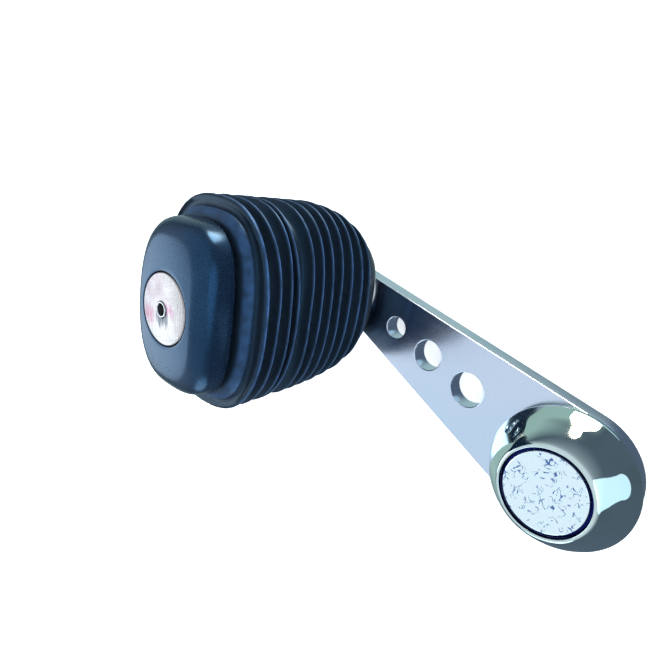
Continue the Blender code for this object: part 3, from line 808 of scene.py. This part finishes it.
def arm_outline():
    """Two round ends joined by their outer tangents."""
    sine = (ARM_HUB_RADIUS - ARM_TIP_RADIUS) / CRANK_LENGTH
    lean = 90 - degrees(atan2(sine, sqrt(1 - sine * sine)))
    hub = arc_points((0, 0), ARM_HUB_RADIUS, lean, 360 - lean, 96)
    tip = arc_points((CRANK_LENGTH, 0), ARM_TIP_RADIUS, -lean, lean, 48)
    return hub + tip


def drive_hole_outline():
    """A round hole with two flats."""
    half = DRIVE_HOLE_FLATS / 2
    reach = degrees(atan2(half, sqrt(DRIVE_HOLE_RADIUS**2 - half**2)))
    right = arc_points((0, 0), DRIVE_HOLE_RADIUS, -reach, reach, 24)
    left = arc_points((0, 0), DRIVE_HOLE_RADIUS, 180 - reach, 180 + reach, 24)
    return right + left


def make_crank_arm():
    """The plate with finely broken edges along its outline and round every hole."""
    edge = 0.22
    curve = bpy.data.curves.new("arm_outline", "CURVE")
    curve.dimensions = "2D"
    curve.fill_mode = "BOTH"
    curve.extrude = (ARM_THICKNESS / 2 - edge) * MM
    curve.bevel_depth = edge * MM
    curve.bevel_resolution = 3
    curve.offset = -edge * MM
    ring_spline(curve, arm_outline())
    for x, radius in LIGHTENING_HOLES:
        ring_spline(curve, circle_points(x, radius))
    ring_spline(curve, drive_hole_outline())
    ring_spline(curve, circle_points(CRANK_LENGTH, POST_SINK_RADIUS))
    guide = bpy.data.objects.new("arm_outline", curve)
    bpy.context.scene.collection.objects.link(guide)
    graph = bpy.context.evaluated_depsgraph_get()
    mesh = bpy.data.meshes.new_from_object(guide.evaluated_get(graph))
    bpy.data.objects.remove(guide, do_unlink=True)
    work = bmesh.new()
    work.from_mesh(mesh)
    bmesh.ops.remove_doubles(work, verts=work.verts, dist=1e-6)
    work.normal_update()
    for edge_line in work.edges:
        flat = [abs(face.normal.z) > 0.999 for face in edge_line.link_faces]
        edge_line.smooth = not (any(flat) and not all(flat))  # the flat faces keep flat normals
    work.to_mesh(mesh)
    work.free()
    mesh.transform(Matrix.Translation((0, 0, ARM_THICKNESS / 2 * MM)))
    place_piece("satin_crank_arm", mesh, "arm_aluminium", "crank", "crank_arm", sharp=None)


# ---------------------------------------------------------------- hub


def between(p, q, r, u, t):
    """The Catmull-Rom value at t of the way from q to r; p comes before them and u after."""
    square = 2 * p - 5 * q + 4 * r - u
    cube = 3 * q - p - 3 * r + u
    return 0.5 * (2 * q + (r - p) * t + square * t**2 + cube * t**3)


def flank_curve(rows, steps=8):
    """A smooth curve through the rows."""
    ends = [rows[0]] + list(rows) + [rows[-1]]
    points = []
    for four in zip(ends, ends[1:], ends[2:], ends[3:]):
        for step in range(steps):
            points.append(tuple(between(*values, step / steps) for values in zip(*four)))
    return points + [rows[-1]]


def make_hub_cover():
    """A polished tapered cover, rolled under at its foot, with a deep groove round the inlay."""
    recess_floor = INLAY_LOW - 0.2
    profile = [(0.02, recess_floor), (COVER_MOUTH - 0.2, recess_floor), (COVER_MOUTH, recess_floor + 0.2)]
    profile += [(COVER_MOUTH, COVER_TOP - 0.15)]
    profile += arc_points((COVER_MOUTH + 0.15, COVER_TOP - 0.15), 0.15, 180, 90, 6)
    rows = [(COVER_MOUTH + 0.3, COVER_TOP), (COVER_MOUTH + 0.6, COVER_TOP - 0.12)]
    rows += [(radius, COVER_LOW + height) for radius, height in reversed(COVER_FLANK)]
    profile += flank_curve(rows)
    profile += arc_points((COVER_RADIUS - 1.4, COVER_LOW + 1.4), 1.4, -5, -80, 10)
    profile += [(COVER_RADIUS - 2.2, COVER_LOW), (COVER_RADIUS - 2.6, COVER_LOW + 0.5)]
    profile += [(COVER_INSIDE_FOOT, COVER_LOW + 2.5)]
    profile += [(radius, COVER_TOP - depth) for radius, depth in COVER_INSIDE]
    work = bmesh.new()
    made = loft(work, turned_rings(profile, 160))
    work.faces.new(made[0])
    work.faces.new(made[-1])
    finish_piece("chrome_hub_cover", work, "chrome", "crank", "hub_cover", sharp=40)


def hammer_height(x, y):
    """The faint overlapping dents of a planishing hammer, in mm."""
    distances = noise.voronoi(Vector((x * 0.7, y * 0.7, 3.7)))[0]
    ridges = 0.02 * min(distances[1] - distances[0], 0.5)
    swell = 0.03 * noise.noise(Vector((x * 0.6, y * 0.6, 9.1)))
    fine = 0.01 * noise.noise(Vector((x * 3.1, y * 3.1, 1.3)))
    return swell + fine - ridges - 0.02


def make_hub_inlay():
    """The hammered disc, displaced for real, with a bright broken edge."""
    top = COVER_TOP - 0.12
    segments, rings_count = 240, 100
    rings = []
    for k in range(rings_count + 1):
        radius = 0.05 + (INLAY_RADIUS - 0.35) * k / rings_count
        fade = min(1.0, (rings_count - k) / 8)
        ring = []
        for i in range(segments):
            angle = 2 * pi * i / segments
            x, y = radius * cos(angle), radius * sin(angle)
            ring.append(Vector((x, y, top - 0.05 + fade * hammer_height(x, y))) * MM)
        rings.append(ring)
    edge = [(INLAY_RADIUS - 0.16, top - 0.08), (INLAY_RADIUS - 0.03, top - 0.2), (INLAY_RADIUS, INLAY_LOW)]
    rings += turned_rings(edge, segments)
    work = bmesh.new()
    made = loft(work, rings)
    work.faces.new(made[0])
    work.faces.new(made[-1])
    finish_piece("hammered_inlay_disc", work, "hammered_silver", "crank", "hub_inlay_disc", sharp=60)


def dress_cad_nodes():
    """Every node that is kept gets its slot's procedural material."""
    slots = {row["node"]: row["material_slot"] for row in frame["record"]["subparts"]}
    for name, node in NODES.items():
        look = LOOKS[slots[name]]
        if not node.material_slots:
            node.data.materials.append(look)
        for holder in node.material_slots:
            holder.material = look
        node.data.shade_smooth()
        node.data.set_sharp_from_angle(angle=radians(35))


make_camera()
make_studio()
dress_cad_nodes()
make_grip_sleeve()
make_end_cap()
make_end_disc()
make_oil_eyelet()
make_crank_arm()
make_hub_cover()
make_hub_inlay()
